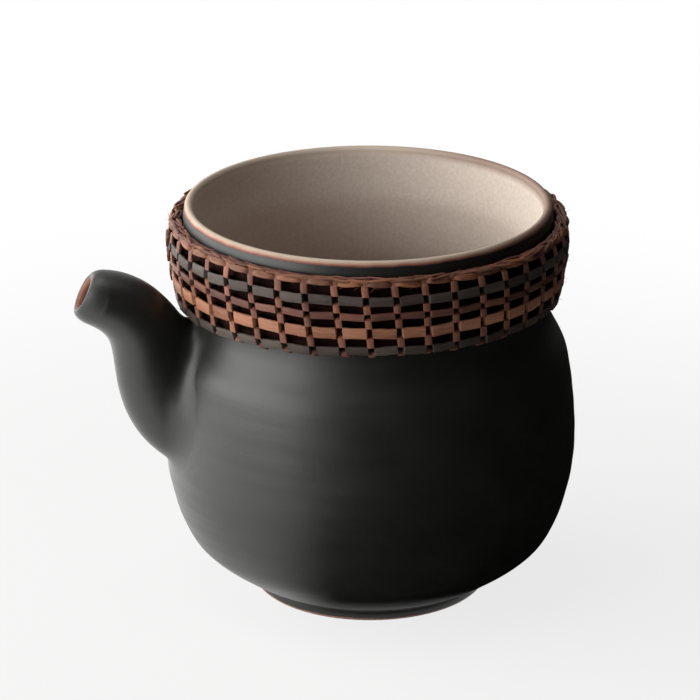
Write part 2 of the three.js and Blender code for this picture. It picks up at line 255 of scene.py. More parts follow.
# Wiping and throwing leave streaks round the pot: 2 mm high and ten times as long.
banding = node(tree, "ShaderNodeMapping", {"Vector": place, "Scale": (0.08, 0.08, 1.0)}).outputs[0]
streak = node(tree, "ShaderNodeTexNoise", {"Vector": banding, "Scale": 420.0, "Detail": 3.0}).outputs["Fac"]
wander = node(tree, "ShaderNodeTexNoise", {"Vector": place, "Scale": 260.0, "Detail": 3.0}).outputs["Fac"]
wavy = node(tree, "ShaderNodeMath", {0: wander, 1: 0.6, 2: -0.3}, operation="MULTIPLY_ADD").outputs[0]
edge = node(tree, "ShaderNodeMath", {0: distance, 1: wavy}).outputs[0]
black = node(tree, "ShaderNodeValToRGB", {"Fac": cloud}, [(0.3, "#181815"), (0.7, "#20201c")]).outputs[0]
speckle = node(tree, "ShaderNodeValToRGB", {"Fac": grain},
               [(0.3, "#dacec2"), (0.5, "#e1d6cb"), (0.7, "#e8dfd6")]).outputs[0]
beige = node(tree, "ShaderNodeMix", {"Factor": 0.5, 6: speckle, 7: linear("#b9aa9d")}, data_type="RGBA",
             blend_type="MULTIPLY").outputs[2]
# The colours by distance from the lip: black wall, bare clay line, cream lip, beige inside.
zones = node(tree, "ShaderNodeMapRange", {"Value": edge, "From Min": -4.0, "From Max": 4.0}).outputs[0]
rim_colours = node(tree, "ShaderNodeValToRGB", {"Fac": zones},
                   [(0.0, "#1c1c19"), (0.215, "#1c1c19"), (0.29, "#74473a"), (0.33, "#9a6853"),
                    (0.365, "#ab8b77"), (0.42, "#b9a693"), (0.6, "#c9baa9"), (0.8, "#d9c9ba")]).outputs[0]
is_inside = node(tree, "ShaderNodeMapRange", {"Value": edge, "From Min": 1.5, "From Max": 3.2}).outputs[0]
is_wall = node(tree, "ShaderNodeMapRange", {"Value": edge, "From Min": -1.95, "From Max": -1.75,
                                            "To Min": 1.0, "To Max": 0.0}).outputs[0]
# Painted shade: the lip is painted a duller brown on the side away from the spout and the window light.
sides = node(tree, "ShaderNodeSeparateXYZ", {0: place}).outputs
lip_painted_shade = node(tree, "ShaderNodeMapRange", {"Value": sides["X"], "From Min": 0.02, "From Max": 0.05,
                                          "To Max": 0.75}, interpolation_type="SMOOTHSTEP").outputs[0]
rim_colours = node(tree, "ShaderNodeMix", {"Factor": lip_painted_shade, 6: rim_colours, 7: linear("#6d4a38")},
                   data_type="RGBA").outputs[2]
with_inside = node(tree, "ShaderNodeMix", {"Factor": is_inside, 6: rim_colours, 7: beige},
                   data_type="RGBA").outputs[2]
with_wall = node(tree, "ShaderNodeMix", {"Factor": is_wall, 6: with_inside, 7: black},
                 data_type="RGBA").outputs[2]
# The glaze was wiped off the lowest 0.8 mm of the foot ring.
foot_edge = node(tree, "ShaderNodeMath", {0: wander, 1: 0.0005, 2: 0.0006},
                 operation="MULTIPLY_ADD").outputs[0]
is_foot = node(tree, "ShaderNodeMath", {0: sides["Z"], 1: foot_edge}, operation="LESS_THAN").outputs[0]
bare = node(tree, "ShaderNodeValToRGB", {"Fac": grain}, [(0.3, "#7d5444"), (0.7, "#a87c69")]).outputs[0]
colour = node(tree, "ShaderNodeMix", {"Factor": is_foot, 6: with_wall, 7: bare}, data_type="RGBA").outputs[2]
dryness = node(tree, "ShaderNodeMapRange", {"Value": edge, "From Min": -1.95, "From Max": -1.7,
                                            "To Min": 0.42, "To Max": 0.68}).outputs[0]
gloss = node(tree, "ShaderNodeMath", {0: streak, 1: 0.14, 2: -0.07}, operation="MULTIPLY_ADD").outputs[0]
roughness = node(tree, "ShaderNodeMath", {0: dryness, 1: gloss}).outputs[0]
relief = node(tree, "ShaderNodeBump", {"Height": grain, "Strength": 0.12, "Distance": 0.0002}).outputs[0]
swell = node(tree, "ShaderNodeBump", {"Height": streak, "Strength": 0.1, "Distance": 0.0006,
                                      "Normal": relief}).outputs[0]
shader = node(tree, "ShaderNodeBsdfPrincipled", {"Base Color": colour, "Roughness": roughness, "IOR": 1.5,
                                                 "Specular IOR Level": 0.43, "Normal": swell}).outputs[0]
node(tree, "ShaderNodeOutputMaterial", {"Surface": shader})
pot.data.materials.append(glaze)
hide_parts("vessel")
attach(pot, "root")

# The spout: a tube of the same clay, thrown on its own, bent in an S and luted over the pour hole.
# Soft clay is smoothed into the crotch above it and round its root, so that pot and spout read as one.
# Its mouth is cut on a slant and wiped, and shows bare brown clay.
SPOUT_SPOKES = 72
SPOUT_ROOT = (BELLY_RADIUS - 12.6, RIM_HEIGHT - 56.6)
SPOUT_MOUTH = (BELLY_RADIUS + 19.5, RIM_HEIGHT - 17.4)
ROOT_TILT, MOUTH_LINE_TILT = math.radians(21.3), math.radians(15.7)
MOUTH_FACE_TILT, MOUTH_FACE_TURN, NOD_START = math.radians(27), math.radians(6.5), 0.85
ROOT_PULL, MOUTH_PULL = 28.8, 26.9
ROOT_RADIUS, MOUTH_RADIUS, SPOUT_TAPER = 10.2, 6.5, 2.45
SPOUT_FLATNESS, FLAT_UNTIL, ROUND_FROM = 0.82, 0.35, 0.9
SPOUT_WALL, MOUTH_WALL, MOUTH_WALL_START = 2.1, 2.75, 0.8
LUTE_FLARE, LUTE_REACH = 2.5, 10
BRIM, BRIM_INSIDE, BRIM_SHOULDER = 1.3, 0.8, 2.0
BRIM_BEVEL, BEVEL_REACH = 0.6, 2.0
# How far the fillet reaches out from the crotch, by the sine of the angle at which a line lies on the tube.
FILLET_SIDES = (-1, 0, 0.7, 1)
FILLET_UNDER, FILLET_BESIDE, FILLET_ABOVE, FILLET_OVER = 3.0, 9.5, 6.5, 8.0
SKIRT = ((0.7, -0.05), (1.2, -0.25))
TUCK = -1.2
MOUTH_CLAY, MOUTH_CLAY_ROWS, GLAZED = -1.4, 3, -30.0


def wall_gap(point):
    """How far a point stands off the pot's outer wall."""
    return np.hypot(point[..., 0], point[..., 1]) - np.interp(point[..., 2], wall_line[:, 1], wall_line[:, 0])


root_point = np.array((-SPOUT_ROOT[0], 0, SPOUT_ROOT[1]))
mouth_point = np.array((-SPOUT_MOUTH[0], 0, SPOUT_MOUTH[1]))
pulls = [root_point, root_point + ROOT_PULL * outward(ROOT_TILT),
         mouth_point - MOUTH_PULL * outward(MOUTH_LINE_TILT), mouth_point]
raw = np.linspace(0, 1, 2001)[:, None]
bend = sum(c * raw ** k * (1 - raw) ** (3 - k) * p for c, k, p in zip((1, 3, 3, 1), range(4), pulls))
length = np.r_[0, np.cumsum(np.linalg.norm(np.diff(bend, axis=0), axis=1))]
line_shares = np.linspace(0, 1, 401)
middle_line = np.stack([np.interp(line_shares * length[-1], length, bend[:, k]) for k in range(3)], 1)
heading = np.gradient(middle_line, axis=0)
heading /= np.linalg.norm(heading, axis=1)[:, None]
nod = smooth_step(line_shares, NOD_START, 1)[:, None]
mouth_face = outward(MOUTH_FACE_TILT) + np.array((0, math.sin(MOUTH_FACE_TURN), 0))
heading = heading * (1 - nod) + mouth_face * nod
heading /= np.linalg.norm(heading, axis=1)[:, None]


def tube_point(share, angle, inset=0.0, beyond=0.0):
    """A point on the tube's skin, at a share of its length."""
    centre = np.array([np.interp(share, line_shares, middle_line[:, k]) for k in range(3)])
    along = np.array([np.interp(share, line_shares, heading[:, k]) for k in range(3)])
    side = np.cross((0, 0, 1), along)
    side /= -np.linalg.norm(side)
    up = np.cross(side, along)
    flat = SPOUT_FLATNESS + (1 - SPOUT_FLATNESS) * smooth_step(share, FLAT_UNTIL, ROUND_FROM)
    spoke = side * math.cos(angle) * flat + up * math.sin(angle)
    radius = ROOT_RADIUS + (MOUTH_RADIUS - ROOT_RADIUS) * share ** SPOUT_TAPER
    point = centre + along * beyond + spoke * (radius - inset)
    if inset == 0:
        near = 1 - min(max(wall_gap(point) / LUTE_REACH, 0), 1)
        point = point + spoke * LUTE_FLARE * near ** 2 * (1 + math.sin(angle)) / 2
    return point


def meeting(angle, inset, depth):
    """The share of the tube's length at which one of its lines comes within the depth of the wall."""
    shares = np.linspace(1, 0, 240)
    gaps = np.array([wall_gap(tube_point(share, angle, inset)) for share in shares]) - depth
    i = int(np.argmax(gaps < 0))
    return shares[i - 1] + (shares[i] - shares[i - 1]) * gaps[i - 1] / (gaps[i - 1] - gaps[i])


def on_wall(point, lift=0.0):
    """The point moved straight in or out to the pot's wall."""
    radius = np.interp(point[2], wall_line[:, 1], wall_line[:, 0]) + lift
    return np.array((*(point[:2] * radius / math.hypot(point[0], point[1])), point[2]))


# Each lengthwise line starts behind the brim, runs down the tube, bows out to the wall, turns back into the
# wall and comes up inside the channel to the brim again.
seat = on_wall(middle_line[int(np.argmax(wall_gap(middle_line) > 0))])
lines = []
for k in range(SPOUT_SPOKES):
    angle = 2 * math.pi * k / SPOUT_SPOKES
    fillet = np.interp(math.sin(angle), FILLET_SIDES,
                       (FILLET_UNDER, FILLET_BESIDE, FILLET_ABOVE, FILLET_OVER))
    bevel = BRIM_BEVEL * math.cos(angle) ** 2
    shoulder = BRIM_SHOULDER + BEVEL_REACH * math.cos(angle) ** 2
    join = meeting(angle, 0, 0)
    ends = np.array([tube_point(share, angle) for share in np.linspace(join, 1, 200)])
    run = np.r_[0, np.cumsum(np.linalg.norm(np.diff(ends, axis=0), axis=1))]
    outer = [np.array([np.interp(place, run, ends[:, c]) for c in range(3)])
             for place in np.linspace(run[-1] - shoulder, fillet, 44)]
    corner = on_wall(ends[0])
    normal = np.array((corner[0], corner[1], 0)) / math.hypot(corner[0], corner[1])
    away = corner - seat
    away -= normal * (away @ normal)
    away /= np.linalg.norm(away)
    foot = on_wall(corner + away * fillet)
    bow = [outer[-1] * (1 - share) ** 2 + corner * 2 * share * (1 - share) + foot * share * share
           for share in np.linspace(0, 1, 14)[1:]]
    skirt = [on_wall(corner + away * (fillet + reach), sink) for reach, sink in SKIRT]
    enter = meeting(angle, SPOUT_WALL, TUCK)
    tuck = [on_wall(tube_point(enter, angle, SPOUT_WALL / 2), TUCK)]
    channel = [tube_point(share, angle, SPOUT_WALL + (MOUTH_WALL - SPOUT_WALL)
                          * smooth_step(share, MOUTH_WALL_START, 1)) for share in np.linspace(enter, 1, 34)]
    roll = [tube_point(1, angle, MOUTH_WALL - BRIM_INSIDE * (1 - math.cos(turn)), BRIM * math.sin(turn))
            for turn in np.linspace(0, math.pi / 2, 6)[1:]]
    for share in np.linspace(0, 1, 12)[1:-1]:
        turn = share * math.pi / 2
        back = bevel * share + (1 - bevel) * (1 - math.cos(turn))
        out = bevel * share + (1 - bevel) * math.sin(turn)
        roll.append(tube_point(1 - shoulder / length[-1] * back, angle,
                               (MOUTH_WALL - BRIM_INSIDE) * (1 - out), BRIM * (1 - back)))
    lines.append(outer + bow + skirt + tuck + channel + roll)
spout_rings = np.transpose(np.array(lines), (1, 0, 2))
# The glaze reads these as distances from the lip, so the channel and the brim's inner half show bare clay.
from_lip = np.full(len(spout_rings), MOUTH_CLAY)
from_lip[:len(outer + bow + skirt + tuck)] = GLAZED
from_lip[-len(roll) + MOUTH_CLAY_ROWS:] = GLAZED
spout = shown("spout_tube", skin("spout_tube", spout_rings, joined=True))
spout.data.attributes.new("from_lip", "FLOAT", "POINT").data.foreach_set(
    "value", np.repeat(from_lip, SPOUT_SPOKES))
finished(spout.data, 80)
spout.data.materials.append(glaze)
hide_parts("spout")
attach(spout, "root")

# The guard: a plaited sleeve of split vine bark that keeps the hand off the hot neck. Forty-two upright
# stakes cross five hoops, over one and under the next. Every splint bulges where it is free and dives where
# it crosses another, so a deep pit shows at each crossing, dark with its own shadow and with painted shade.
STAKES = 42
PITCH = 2 * math.pi / STAKES
FIRST_STAKE = math.pi + PITCH / 2
FIRST_HOOP_LENGTH = FIRST_STAKE + PITCH / 2
GUARD_TOP = RIM_HEIGHT - 3.7
HOOPS = {
    # The radius and height of the splint's middle, its width, and how far its face leans back in degrees.
    "hoop_top": (47.0, GUARD_TOP - 0.75, 1.5, 33),
    "hoop_upper": (47.5, GUARD_TOP - 4.7, 2.2, 4),
    "hoop_middle": (47.25, GUARD_TOP - 8.5, 1.65, -5),
    "hoop_lower": (46.75, GUARD_TOP - 12.75, 2.65, -8),
    "hoop_bottom": (46.0, GUARD_TOP - 17.4, 2.1, -13),
}
GUARD_CROWN = [(44.9, GUARD_TOP - 0.9), (45.9, GUARD_TOP + 0.1)]
GUARD_HEM = [(44.85, GUARD_TOP - 18.8), (44.0, GUARD_TOP - 19.25), (43.4, GUARD_TOP - 18.8)]
HOOP_THICKNESS, STAKE_THICKNESS, STAKE_WIDTH = 0.5, 0.45, 1.6
HOOP_CROWN, STAKE_CROWN, CHAMFER_WIDTH, CHAMFER_DEPTH = 0.03, 0.02, 0.09, 0.06
SHALLOW_DIVE, DEEP_DIVE, CAP_DIVE = 1.25, 1.85, 0.35
STAKE_BULGE = 0.05
STAKE_MIDDLE = (47, GUARD_TOP - 9)
GUARD_PULL = Vector((-0.966, 0.259, 0)) * 0.9 * MM
# In radians for each metre down: the stakes lean by 6 degrees.
GUARD_SLANT = 2.3
# On the side of the spout the rows draw apart by this share of their distance from the still height.
STILL_HEIGHT, PARTING = GUARD_TOP - 2, 0.07


def splint(name, rings, notes):
    """A closed strip from rings of points about the pot's axis. It keeps a note of where each point lies
    along and across the strip, and how deep it dives, all in millimetres."""
    rings = np.asarray(rings, float)
    count, size = rings.shape[:2]
    mesh = skin(name, rings, axis=(0, 0, 0))
    work = bmesh.new()
    work.from_mesh(mesh)
    work.verts.ensure_lookup_table()
    work.faces.new([work.verts[k] for k in range(size)])
    work.faces.new([work.verts[(count - 1) * size + k] for k in range(size)])
    bmesh.ops.recalc_face_normals(work, faces=work.faces)
    work.to_mesh(mesh)
    work.free()
    mesh.attributes.new("splint", "FLOAT_VECTOR", "POINT").data.foreach_set(
        "vector", np.asarray(notes, float).ravel())
    mesh.shade_smooth()
    mesh.set_sharp_from_angle(angle=math.radians(40))
    return shown(name, mesh)


def across_splint(width, thickness, crown):
    """The points round a splint's section: flat beneath, crowned above, with its upper edges taken off."""
    edge, top = width / 2, thickness / 2
    return ((-edge, -top), (-edge, top - CHAMFER_DEPTH), (CHAMFER_WIDTH - edge, top), (0, top + crown),
            (edge - CHAMFER_WIDTH, top), (edge, top - CHAMFER_DEPTH), (edge, -top))


def brick(name, hoop, dives, painted_shade_drop=0.0):
    """A hoop's length between two stakes. Its ends dive into the pits, or fold down if it leans far back."""
    pit, slope = 0.85, 0.5
    fold_rise, fold_start, fold_share, fold_taper = 0.1, 0.6, 0.45, 0.5
    radius, height, width, lean = hoop
    lean = math.radians(lean)
    half = radius * PITCH / 2
    free = half - pit
    rings, notes = [], []
    spots = [half, half - 0.1, free + slope, free + 0.3, free + 0.12, free, free - 0.5, free / 3]
    for y in [-spot for spot in spots] + spots[::-1]:
        dive = dives[0 if y < 0 else 1]
        lift = -dive * smooth_step(abs(y), free, free + slope)
        wide = width
        if lean > 0.5:
            lift = fold_rise * (1 - (y / half) ** 2) - dive * smooth_step(abs(y), free - fold_start,
                                                                          half) * fold_share
            wide = width * (1 - fold_taper * abs(y / half) ** 2)
        ring = []
        for across, up in across_splint(wide, HOOP_THICKNESS, HOOP_CROWN):
            r = radius + (lift + up) * math.cos(lean) - across * math.sin(lean)
            z = height + (lift + up) * math.sin(lean) + across * math.cos(lean)
            ring.append((r * math.cos(y / radius), r * math.sin(y / radius), z))
            # The depth note is set lower by the painted shade drop, so the bark paints these points darker:
            # painted shade.
            notes.append((y, across, lift + up - HOOP_THICKNESS / 2 - painted_shade_drop))
        rings.append(ring)
    return splint(name, rings, notes)


guard_stops = GUARD_CROWN + [hoop[:2] for hoop in HOOPS.values()] + GUARD_HEM
guard_line = curve_through(guard_stops, 900)
guard_run = np.r_[0, np.cumsum(np.linalg.norm(np.diff(guard_line, axis=0), axis=1))]
guard_out = sideways(guard_line, -1.0) - guard_line
hoop_spots = [guard_run[int(np.argmin(np.linalg.norm(guard_line - hoop[:2], axis=1)))]
              for hoop in HOOPS.values()]


def stake(name, first_over):
    """One upright splint, from inside the crown, over the top and down to the hook under the last hoop."""
    rim, tip, tip_width = 0.42, 0.6, 0.7
    spots = {0, 0.5, 1.0}
    for spot, (_, _, width, _) in zip(hoop_spots, HOOPS.values()):
        half = width / 2
        spots |= {spot + side * step for side in (-1, 1)
                  for step in (half + 0.3, half, half - 0.2, half - rim)}
    spots |= {(a + b) / 2 for a, b in zip(hoop_spots, hoop_spots[1:])}
    spots |= set(np.linspace(hoop_spots[-1] + HOOPS["hoop_bottom"][2] / 2 + 0.5, guard_run[-1], 6))
    rings, notes = [], []
    for down in sorted(spots):
        centre = np.array([np.interp(down, guard_run, guard_line[:, k]) for k in range(2)])
        out = np.array([np.interp(down, guard_run, guard_out[:, k]) for k in range(2)])
        lift = STAKE_BULGE if hoop_spots[0] < down < hoop_spots[-1] else 0.0
        for row, (spot, (_, _, width, _)) in enumerate(zip(hoop_spots, HOOPS.values())):
            dive = SHALLOW_DIVE if (row + first_over) % 2 == 0 else DEEP_DIVE
            if row == 0:
                dive = CAP_DIVE
            near = 1 - smooth_step(abs(down - spot), width / 2 - rim, width / 2 - 0.02)
            lift -= (dive + STAKE_BULGE) * near
        wide = STAKE_WIDTH * (1 if down < guard_run[-1] - tip else tip_width)
        ring = []
        for across, up in across_splint(wide, STAKE_THICKNESS, STAKE_CROWN):
            r, z = centre + out * (lift + up)
            ring.append((r, across, z))
            notes.append((down, across, lift + up - STAKE_THICKNESS / 2))
        rings.append(ring)
    return splint(name, rings, notes)


def rule_tree(name, inputs):
    """A new Geometry Nodes tree with its named inputs, and the sockets that give them inside it."""
    tree = bpy.data.node_groups.new(name, "GeometryNodeTree")
    for given, kind in inputs.items():
        tree.interface.new_socket(given, in_out="INPUT", socket_type="NodeSocket" + kind)
    tree.interface.new_socket("Geometry", in_out="OUTPUT", socket_type="NodeSocketGeometry")
    return tree, node(tree, "NodeGroupInput").outputs


# The rule that both the hoops and the stakes are laid by: pieces stand in a ring, two kinds by turns. Each is
# a little off its place, size and angle, as hand-split bark is, and its edges are roughened. Towards the side
# of the spout the sleeve stands off the neck and its rows draw a little apart.
laid_round, given = rule_tree("laid_round", {
    "even piece": "Object", "odd piece": "Object", "count": "Int", "first angle": "Float", "seed": "Int",
    "pivot": "Vector", "turn": "Vector", "shift": "Vector", "stretch": "Vector", "roughening": "Float",
    "pull": "Vector", "top": "Float", "slant": "Float", "still height": "Float", "parting": "Float",
    "axis": "Vector", "finish": "Material"})
points = node(laid_round, "GeometryNodePoints", {"Count": given["count"]}).outputs[0]
index = node(laid_round, "GeometryNodeInputIndex").outputs[0]
odd = node(laid_round, "FunctionNodeIntegerMath", {0: index, 1: 2}, operation="MODULO").outputs[0]
even = node(laid_round, "FunctionNodeBooleanMath", {0: odd}, operation="NOT").outputs[0]
step = node(laid_round, "ShaderNodeMath", {0: 2 * math.pi, 1: given["count"]}, operation="DIVIDE").outputs[0]
angle = node(laid_round, "ShaderNodeMath", {0: index, 1: step, 2: given["first angle"]},
             operation="MULTIPLY_ADD").outputs[0]
spin = node(laid_round, "ShaderNodeCombineXYZ", {"Z": angle}).outputs[0]
spin = node(laid_round, "FunctionNodeEulerToRotation", {"Euler": spin}).outputs[0]
both = node(laid_round, "GeometryNodeJoinGeometry")
for name, chosen in (("even piece", even), ("odd piece", odd)):
    piece = node(laid_round, "GeometryNodeObjectInfo", {"Object": given[name]}).outputs["Geometry"]
    copies = node(laid_round, "GeometryNodeInstanceOnPoints", {"Points": points, "Selection": chosen,
                                                              "Instance": piece, "Rotation": spin})
    laid_round.links.new(copies.outputs[0], both.inputs[0])


def spread(tree, seed, offset, reach, base=(0, 0, 0)):
    """A random vector for each piece, up to the reach either way of the base."""
    shifted = node(tree, "ShaderNodeMath", {0: seed, 1: offset}).outputs[0]
    low = node(tree, "ShaderNodeVectorMath", {0: base, 1: reach}, operation="SUBTRACT").outputs[0]
    high = node(tree, "ShaderNodeVectorMath", {0: base, 1: reach}).outputs[0]
    return node(tree, "FunctionNodeRandomValue", {0: low, 1: high, 8: shifted},
                data_type="FLOAT_VECTOR").outputs[0]


tinted = node(laid_round, "GeometryNodeStoreNamedAttribute", {
    "Geometry": both.outputs[0], "Name": "tint",
    "Value": node(laid_round, "FunctionNodeRandomValue", {8: given["seed"]}).outputs[1]},
    domain="INSTANCE", data_type="FLOAT").outputs[0]
turned_pieces = node(laid_round, "GeometryNodeRotateInstances", {
    "Instances": tinted, "Rotation": spread(laid_round, given["seed"], 1.0, given["turn"]),
    "Pivot Point": given["pivot"], "Local Space": True}).outputs[0]
sized_pieces = node(laid_round, "GeometryNodeScaleInstances", {
    "Instances": turned_pieces, "Scale": spread(laid_round, given["seed"], 2.0, given["stretch"], (1, 1, 1)),
    "Center": given["pivot"], "Local Space": True}).outputs[0]
moved_pieces = node(laid_round, "GeometryNodeTranslateInstances", {
    "Instances": sized_pieces, "Translation": spread(laid_round, given["seed"], 3.0, given["shift"]),
    "Local Space": True}).outputs[0]
real = node(laid_round, "GeometryNodeRealizeInstances", {"Geometry": moved_pieces}).outputs[0]
# Roughening wanders over 2 mm, about one splint's width.
where = node(laid_round, "GeometryNodeInputPosition").outputs[0]
height = node(laid_round, "ShaderNodeSeparateXYZ", {0: where}).outputs["Z"]
rough = node(laid_round, "ShaderNodeTexNoise", {"Vector": where, "Scale": 500.0,
                                                "Detail": 2.0}).outputs["Color"]
rough = node(laid_round, "ShaderNodeVectorMath", {0: rough, 1: (0.5, 0.5, 0.5)},
             operation="SUBTRACT").outputs[0]
rough = node(laid_round, "ShaderNodeVectorMath", {"Vector": rough, "Scale": given["roughening"]},
             operation="SCALE").outputs[0]
rough = node(laid_round, "GeometryNodeSetPosition", {"Geometry": real, "Offset": rough}).outputs[0]
near_side = node(laid_round, "ShaderNodeVectorMath", {
    0: node(laid_round, "ShaderNodeVectorMath", {0: where}, operation="NORMALIZE").outputs[0],
    1: node(laid_round, "ShaderNodeVectorMath", {0: given["pull"]}, operation="NORMALIZE").outputs[0]},
    operation="DOT_PRODUCT").outputs["Value"]
# The pot's own height is in the places, so the share never reaches one. It is brought up to it here.
near_side = node(laid_round, "ShaderNodeMapRange", {"Value": near_side, "From Max": 0.46}).outputs[0]
nearest = node(laid_round, "ShaderNodeMath", {0: near_side, 1: 3.0}, operation="POWER").outputs[0]
pulled = node(laid_round, "ShaderNodeVectorMath", {0: given["pull"], "Scale": nearest},
              operation="SCALE").outputs[0]
parted = node(laid_round, "ShaderNodeMath", {0: height, 1: given["still height"]},
              operation="SUBTRACT").outputs[0]
parted = node(laid_round, "ShaderNodeMath", {0: near_side, 1: parted}, operation="MULTIPLY").outputs[0]
parted = node(laid_round, "ShaderNodeMath", {0: parted, 1: given["parting"]}, operation="MULTIPLY").outputs[0]
parted = node(laid_round, "ShaderNodeCombineXYZ", {"Z": parted}).outputs[0]
pulled = node(laid_round, "ShaderNodeVectorMath", {0: pulled, 1: parted}).outputs[0]
pulled = node(laid_round, "GeometryNodeSetPosition", {"Geometry": rough, "Offset": pulled}).outputs[0]
drop = node(laid_round, "ShaderNodeMath", {0: given["top"], 1: height}, operation="SUBTRACT").outputs[0]
slanted = node(laid_round, "ShaderNodeMath", {0: drop, 1: given["slant"]}, operation="MULTIPLY").outputs[0]
slanted = node(laid_round, "ShaderNodeVectorRotate", {"Vector": where, "Angle": slanted},
               rotation_type="Z_AXIS").outputs[0]
slanted = node(laid_round, "GeometryNodeSetPosition", {"Geometry": pulled, "Position": slanted}).outputs[0]
set_down = node(laid_round, "GeometryNodeTransform", {"Geometry": slanted,
                                                      "Translation": given["axis"]}).outputs[0]
finish_set = node(laid_round, "GeometryNodeSetMaterial", {"Geometry": set_down, "Material": given["finish"]})
node(laid_round, "NodeGroupOutput", {"Geometry": finish_set.outputs[0]})


def grown(name, tree, **values):
    """Runs a Geometry Nodes tree with its named inputs set, and keeps the result as a plain mesh."""
    holder = shown(name, bpy.data.meshes.new(name))
    rule = holder.modifiers.new("rule", "NODES")
    rule.node_group = tree
    for item in tree.interface.items_tree:
        if item.in_out == "INPUT" and item.name.replace(" ", "_") in values:
            rule[item.identifier] = values[item.name.replace(" ", "_")]
    return shown(name, baked(holder))


def laid(name, units, place, **rule):
    """Units laid round the guard by the rule, about their place of radius and height, as one plain mesh. An
    input that isn't given is zero. The units themselves are removed."""
    piece = grown(name, laid_round, even_piece=units[0], odd_piece=units[-1], axis=AXIS, pull=GUARD_PULL,
                  pivot=Vector((place[0], 0, place[1])) * MM, top=GUARD_TOP * MM,
                  still_height=STILL_HEIGHT * MM, parting=PARTING, **rule)
    for unit in units:
        bpy.data.objects.remove(unit)
    return piece


def bark(name, light, middle, dark):
    """Dry split bark: open grain along the splint, and colour that wanders from splint to splint. It is
    painted darker and duller where its depth note lies deep: painted shade where a splint dives beneath
    another."""
    made, tree = material(name)
    notes = node(tree, "ShaderNodeAttribute", attribute_name="splint").outputs["Vector"]
    tint = node(tree, "ShaderNodeAttribute", attribute_name="tint").outputs["Fac"]
    apart = node(tree, "ShaderNodeVectorMath", {0: (37.0, 91.0, 13.0), "Scale": tint},
                 operation="SCALE").outputs[0]
    # Grain lines are 0.2 mm apart and 3 mm long, drawn at 0.35 mm so that they show.
    lengthwise = node(tree, "ShaderNodeMapping", {"Vector": notes, "Scale": (0.3, 2.9, 0.6)}).outputs[0]
    moved = node(tree, "ShaderNodeVectorMath", {0: lengthwise, 1: apart}).outputs[0]
    fibre = node(tree, "ShaderNodeTexNoise", {"Vector": moved, "Scale": 1.0, "Detail": 4.0,
                                              "Roughness": 0.65}).outputs["Fac"]
    patch = node(tree, "ShaderNodeTexNoise", {"Vector": moved, "Scale": 0.35, "Detail": 2.0}).outputs["Fac"]
    shade = node(tree, "ShaderNodeMath", {0: fibre, 1: 0.6}, operation="MULTIPLY").outputs[0]
    shade = node(tree, "ShaderNodeMath", {0: tint, 1: 0.34, 2: shade}, operation="MULTIPLY_ADD").outputs[0]
    shade = node(tree, "ShaderNodeMath", {0: patch, 1: 0.3, 2: shade}, operation="MULTIPLY_ADD").outputs[0]
    body = node(tree, "ShaderNodeValToRGB", {"Fac": shade},
                [(0.35, dark), (0.6, middle), (0.9, light)]).outputs[0]
    depth = node(tree, "ShaderNodeSeparateXYZ", {0: notes}).outputs["Z"]
    # Painted shade: the deeper a point's note lies, the darker its colour and the weaker its gloss.
    painted_depth_shade = node(tree, "ShaderNodeMapRange", {"Value": depth, "From Min": -1.15, "From Max": -0.55,
                                              "To Min": 0.1}).outputs[0]
    shade_painted_colour = node(tree, "ShaderNodeVectorMath", {0: body, "Scale": painted_depth_shade}, operation="SCALE").outputs[0]
    gloss_under_painted_shade = node(tree, "ShaderNodeMath", {0: painted_depth_shade, 1: 0.4}, operation="MULTIPLY").outputs[0]
    relief = node(tree, "ShaderNodeBump", {"Height": fibre, "Strength": 0.6, "Distance": 0.00025}).outputs[0]
    shader = node(tree, "ShaderNodeBsdfPrincipled", {"Base Color": shade_painted_colour, "Roughness": 0.6, "IOR": 1.45,
                                                     "Specular IOR Level": gloss_under_painted_shade, "Normal": relief})
    node(tree, "ShaderNodeOutputMaterial", {"Surface": shader.outputs[0]})
    return made


# Sun-dried outer bark is tan, heartwood side is red-brown, and bark dyed in tannin and mud is grey-brown. The
# bark bent over the crown and the peeled stakes are a duller brown.
tan_bark = bark("tan_vine_bark", "#b0795c", "#8c5b43", "#5c3425")
red_bark = bark("red_vine_bark", "#7f5040", "#613a2e", "#3c2118")
dark_bark = bark("mud_dyed_vine_bark", "#564b43", "#413630", "#291f1a")
crown_bark = bark("bent_vine_bark", "#96603f", "#69402c", "#351c12")
stake_bark = bark("peeled_vine_stake", "#95604b", "#704434", "#45261c")
WEAVE = {"hoop_top": (crown_bark, "tan_splint"), "hoop_upper": (dark_bark, "dark_splint"),
         "hoop_middle": (red_bark, "red_splint"), "hoop_lower": (tan_bark, "tan_splint"),
         "hoop_bottom": (dark_bark, "dark_splint")}
CAP_TURN, HOOP_TURN = Vector((0.09, 0.09, 0.06)), Vector((0.065, 0.05, 0.05))
HOOP_SHIFT = Vector((0.14, 0.14, 0.16)) * MM
STAKE_TURN, STAKE_SHIFT = Vector((0.04, 0.0, 0.03)), Vector((0.05, 0.22, 0.1)) * MM
SPLINT_ROUGHENING = 0.42 * MM
for row, (name, hoop) in enumerate(HOOPS.items()):
    finish, slot = WEAVE[name]
    dives = (SHALLOW_DIVE, DEEP_DIVE) if row % 2 else (DEEP_DIVE, SHALLOW_DIVE)
    lengths = [brick("even_length", hoop, dives), brick("odd_length", hoop, dives[::-1])]
    piece = laid("laid_" + name, lengths, hoop, count=STAKES, first_angle=FIRST_HOOP_LENGTH, seed=11 + row,
                 turn=HOOP_TURN if row else CAP_TURN, shift=HOOP_SHIFT, roughening=SPLINT_ROUGHENING,
                 slant=GUARD_SLANT, finish=finish)
    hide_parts(name)
    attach(piece, "root")

